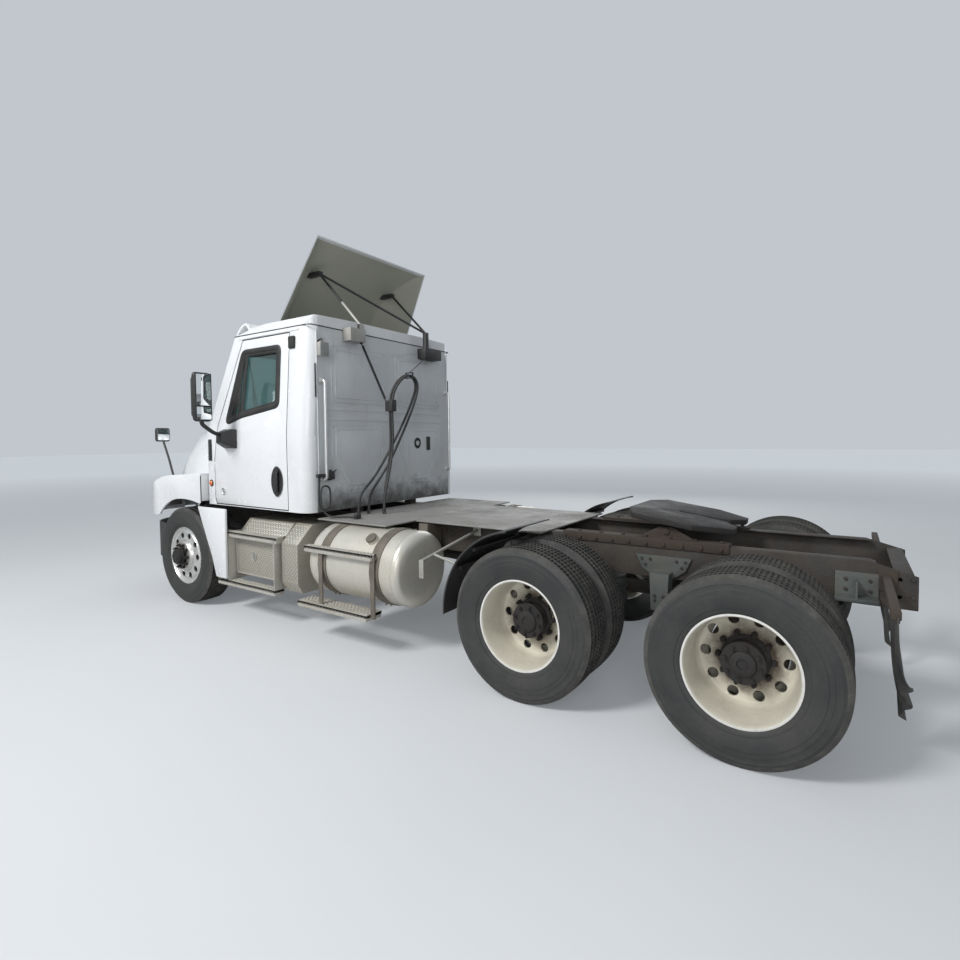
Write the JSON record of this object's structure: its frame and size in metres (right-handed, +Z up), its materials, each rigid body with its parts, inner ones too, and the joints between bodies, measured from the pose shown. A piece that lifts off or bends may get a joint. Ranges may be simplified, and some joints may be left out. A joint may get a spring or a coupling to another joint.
{
  "type": "semi truck tractor unit",
  "caption": "White day-cab 6x4 semi truck tractor unit with tilting hood, hinged doors, steered front wheels, twin drive wheels, fifth wheel and a raised roof deflector.",
  "frame": {"origin": "on the ground, under the middle of the whole vehicle", "axes": "+X forward, +Y to the driver's left, +Z up"},
  "size_m": [7.47, 2.88, 3.612],
  "materials": {
    "white_paint": "gloss white paint, dusty",
    "window_glass": "tinted glass",
    "tyre_rubber": "dusty black rubber",
    "cream_rim": "dusty cream paint",
    "polished_rim": "polished aluminium",
    "frame_paint": "brownish frame paint, dusty",
    "hanger_paint": "grey-green paint",
    "greasy_iron": "dark greasy iron with rust",
    "black_plastic": "matt black plastic",
    "deck_aluminium": "dull plate",
    "tread_plate": "diamond plate",
    "tank_aluminium": "polished aluminium",
    "air_rubber": "black rubber",
    "flap_rubber": "matt black rubber",
    "bright_metal": "chromed",
    "hose_rubber": "black air hose",
    "lamp_lens": "clear lens",
    "cabin_plastic": "dark grey plastic",
    "seat_cloth": "dark grey cloth",
    "scoop_plastic": "white outside, olive grey inside"
  },
  "bodies": {
    "chassis": {"air_springs": "air_rubber", "cab_fittings": "bright_metal", "cab_interior": "cabin_plastic", "cab_mounts": "frame_paint", "cab_roof": "white_paint", "cab_shell": "white_paint", "crossmembers": "frame_paint", "deck_plates": "deck_aluminium", "deflector_struts": "black_plastic", "drive_axles": "frame_paint", "driveshafts": "frame_paint", "engine_block": "greasy_iron", "fifth_wheel_base": "greasy_iron", "frame_rails": "frame_paint", "front_axle": "frame_paint", "front_bumper": "bright_metal", "front_springs": "frame_paint", "fuel_tanks": "tank_aluminium", "mudflaps": "flap_rubber", "quarter_fenders": "black_plastic", "rear_suspension": "hanger_paint", "roof_deflector": "scoop_plastic", "seats": "seat_cloth", "side_boxes": "tread_plate", "side_steps": "tread_plate", "steering_wheel": "cabin_plastic", "sun_visor": "white_paint", "air_hose_front": "hose_rubber", "air_hose_rear": "hose_rubber", "corner_hose": "hose_rubber", "hose_support": "black_plastic", "tank_straps": "greasy_iron", "wheel_skirts": "white_paint", "windscreen": "window_glass"},
    "hood": {"hood": "white_paint", "grille": "bright_metal", "headlamps": "lamp_lens", "hood_mirrors": "black_plastic"},
    "fifth_wheel": {"fifth_wheel": "greasy_iron"},
    "tie_rod": {"tie_rod": "frame_paint"},
    "door_left": {"door_left": "white_paint", "door_glass_left": "window_glass", "door_fittings_left": "black_plastic"},
    "knuckle_left": {"knuckle_left": "frame_paint"},
    "front_wheel_left": {"front_tyre_left": "tyre_rubber", "front_rim_left": "polished_rim"},
    "drive_wheel_front_left": {"drive_tyres_front_left": "tyre_rubber", "drive_rims_front_left": "cream_rim"},
    "drive_wheel_rear_left": {"drive_tyres_rear_left": "tyre_rubber", "drive_rims_rear_left": "cream_rim"},
    "door_right": {"door_right": "white_paint", "door_glass_right": "window_glass", "door_fittings_right": "black_plastic"},
    "knuckle_right": {"knuckle_right": "frame_paint"},
    "front_wheel_right": {"front_tyre_right": "tyre_rubber", "front_rim_right": "polished_rim"},
    "drive_wheel_front_right": {"drive_tyres_front_right": "tyre_rubber", "drive_rims_front_right": "cream_rim"},
    "drive_wheel_rear_right": {"drive_tyres_rear_right": "tyre_rubber", "drive_rims_rear_right": "cream_rim"}
  },
  "joints": [
    {"name": "hood_tilt", "type": "hinge", "parent": "chassis", "child": "hood", "pos_m": [3.6, 0, 0.83], "axis": [0, 1, 0], "range_deg": [0, 75]},
    {"name": "fifth_wheel_tip", "type": "hinge", "parent": "chassis", "child": "fifth_wheel", "pos_m": [-2.33, 0, 1.058], "axis": [0, 1, 0], "range_deg": [0, 23]},
    {"name": "door_left_swing", "type": "hinge", "parent": "chassis", "child": "door_left", "pos_m": [2.117, 1.045, 1.5], "axis": [0, 0, -1], "range_deg": [0, 70]},
    {"name": "steer_left", "type": "hinge", "parent": "chassis", "child": "knuckle_left", "pos_m": [2.5, 0.88, 0.505], "axis": [0, 0, 1], "range_deg": [-38, 38]},
    {"name": "front_wheel_left_roll", "type": "hinge", "parent": "knuckle_left", "child": "front_wheel_left", "pos_m": [2.5, 1.043, 0.505], "axis": [0, 1, 0], "continuous": true},
    {"name": "drive_wheel_front_left_roll", "type": "hinge", "parent": "chassis", "child": "drive_wheel_front_left", "pos_m": [-1.615, 0.913, 0.505], "axis": [0, 1, 0], "continuous": true},
    {"name": "drive_wheel_rear_left_roll", "type": "hinge", "parent": "chassis", "child": "drive_wheel_rear_left", "pos_m": [-2.935, 0.913, 0.505], "axis": [0, 1, 0], "continuous": true},
    {"name": "door_right_swing", "type": "hinge", "parent": "chassis", "child": "door_right", "pos_m": [2.117, -1.045, 1.5], "axis": [0, 0, 1], "range_deg": [0, 70]},
    {"name": "steer_right", "type": "hinge", "parent": "chassis", "child": "knuckle_right", "pos_m": [2.5, -0.88, 0.505], "axis": [0, 0, 1], "range_deg": [-38, 38]},
    {"name": "front_wheel_right_roll", "type": "hinge", "parent": "knuckle_right", "child": "front_wheel_right", "pos_m": [2.5, -1.043, 0.505], "axis": [0, 1, 0], "continuous": true},
    {"name": "drive_wheel_front_right_roll", "type": "hinge", "parent": "chassis", "child": "drive_wheel_front_right", "pos_m": [-1.615, -0.913, 0.505], "axis": [0, 1, 0], "continuous": true},
    {"name": "drive_wheel_rear_right_roll", "type": "hinge", "parent": "chassis", "child": "drive_wheel_rear_right", "pos_m": [-2.935, -0.913, 0.505], "axis": [0, 1, 0], "continuous": true},
    {"name": "tie_rod_pivot", "type": "hinge", "parent": "knuckle_left", "child": "tie_rod", "pos_m": [2.3, 0.88, 0.362], "axis": [0, 0, 1], "range_deg": [-38, 38]}
  ],
  "couplings": [
    {"joint": "steer_right", "follows": "steer_left", "ratio": 1},
    {"joint": "tie_rod_pivot", "follows": "steer_left", "ratio": -1}
  ]
}
